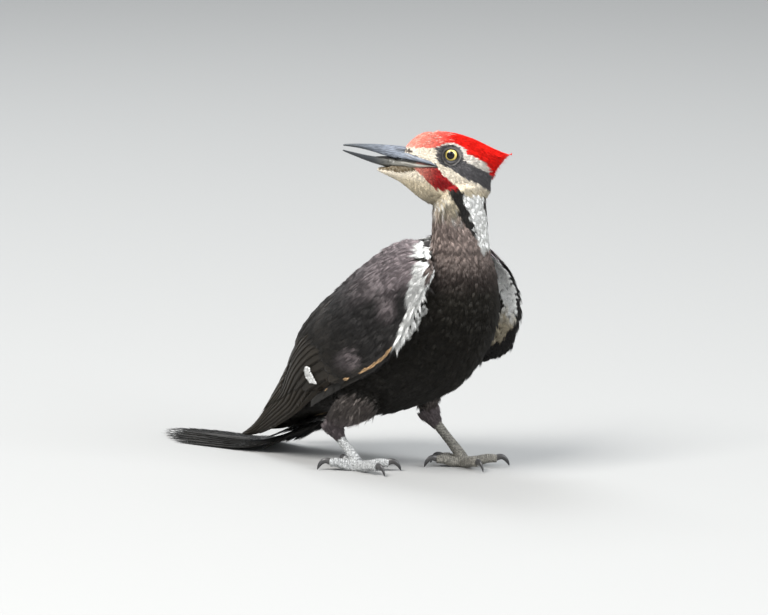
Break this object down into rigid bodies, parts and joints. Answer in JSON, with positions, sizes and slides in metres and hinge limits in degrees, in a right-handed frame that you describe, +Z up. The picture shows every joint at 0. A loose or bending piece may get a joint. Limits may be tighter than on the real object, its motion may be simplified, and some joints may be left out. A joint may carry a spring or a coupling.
{
  "type": "pileated woodpecker",
  "caption": "Life-size still model of a male pileated woodpecker that stands and looks back over its shoulder, red crest raised, wings folded; a museum figure to stand on a floor or shelf.",
  "frame": {"origin": "on the floor, under the middle of the model's box", "axes": "-Y is the way the body heads, -X is the bird's right side, +Z is up; the tail runs back along +Y"},
  "size_m": [0.1224, 0.3338, 0.2787],
  "materials": {
    "black_plumage": "soft black feathers with a faint sheen",
    "dark_plumage": "soft grey-black feathers",
    "cream_plumage": "soft cream, white, slate and red head feathers",
    "red_plumage": "soft scarlet feathers",
    "bill_horn": "satin slate-grey horn",
    "claw_horn": "satin dark horn",
    "foot_skin": "dry scaly grey skin",
    "eye": "glossy pale yellow with a black pupil"
  },
  "bodies": {
    "root": {"trunk": "black_plumage", "neck": "dark_plumage", "head": "cream_plumage", "crest": "red_plumage", "upper_bill": "bill_horn", "lower_bill": "bill_horn", "eye_left": "eye", "eye_right": "eye", "left_wing": "black_plumage", "right_wing": "black_plumage", "tail": "black_plumage", "left_toe_1": "foot_skin", "left_claw_1": "claw_horn", "left_toe_2": "foot_skin", "left_claw_2": "claw_horn", "left_toe_3": "foot_skin", "left_claw_3": "claw_horn", "left_toe_4": "foot_skin", "left_claw_4": "claw_horn", "left_shank": "foot_skin", "left_thigh": "dark_plumage", "right_toe_1": "foot_skin", "right_claw_1": "claw_horn", "right_toe_2": "foot_skin", "right_claw_2": "claw_horn", "right_toe_3": "foot_skin", "right_claw_3": "claw_horn", "right_toe_4": "foot_skin", "right_claw_4": "claw_horn", "right_shank": "foot_skin", "right_thigh": "dark_plumage"}
  },
  "joints": []
}
